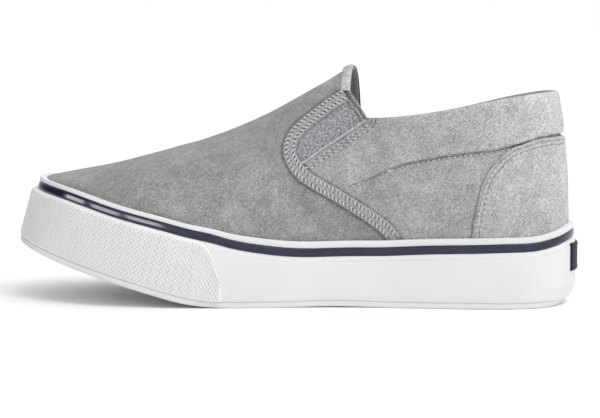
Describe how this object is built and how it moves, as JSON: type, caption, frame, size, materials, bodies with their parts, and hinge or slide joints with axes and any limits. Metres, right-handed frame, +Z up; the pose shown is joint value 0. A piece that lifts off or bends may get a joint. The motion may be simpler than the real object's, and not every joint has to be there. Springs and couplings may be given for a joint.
{
  "type": "slip-on sneaker",
  "caption": "Low slip-on canvas sneaker, left foot, with elastic gores at the instep, a padded collar and a high rubber sidewall.",
  "frame": {"origin": "on the floor under the middle of the shoe's bounding box", "axes": "+X towards the heel, so the toe points along -X; -Y is the lateral side and +Y the medial side; +Z up"},
  "size_m": [0.263, 0.1004, 0.1095],
  "materials": {
    "white_rubber": "satin",
    "navy_rubber": "gloss",
    "grey_canvas": "matt",
    "grey_trim": "matt",
    "grey_elastic": "matt",
    "grey_lining": "matt"
  },
  "bodies": {
    "root": {"outsole": "white_rubber", "midsole": "white_rubber", "stripe": "navy_rubber", "top_line": "white_rubber", "toe_bumper": "white_rubber", "heel_patch": "navy_rubber", "insole": "grey_lining", "upper": "grey_canvas", "gore_lateral": "grey_elastic", "gore_medial": "grey_elastic", "trim_lateral": "grey_trim", "trim_medial": "grey_trim", "heel_counter": "grey_canvas", "throat_facing": "grey_trim"}
  },
  "joints": []
}
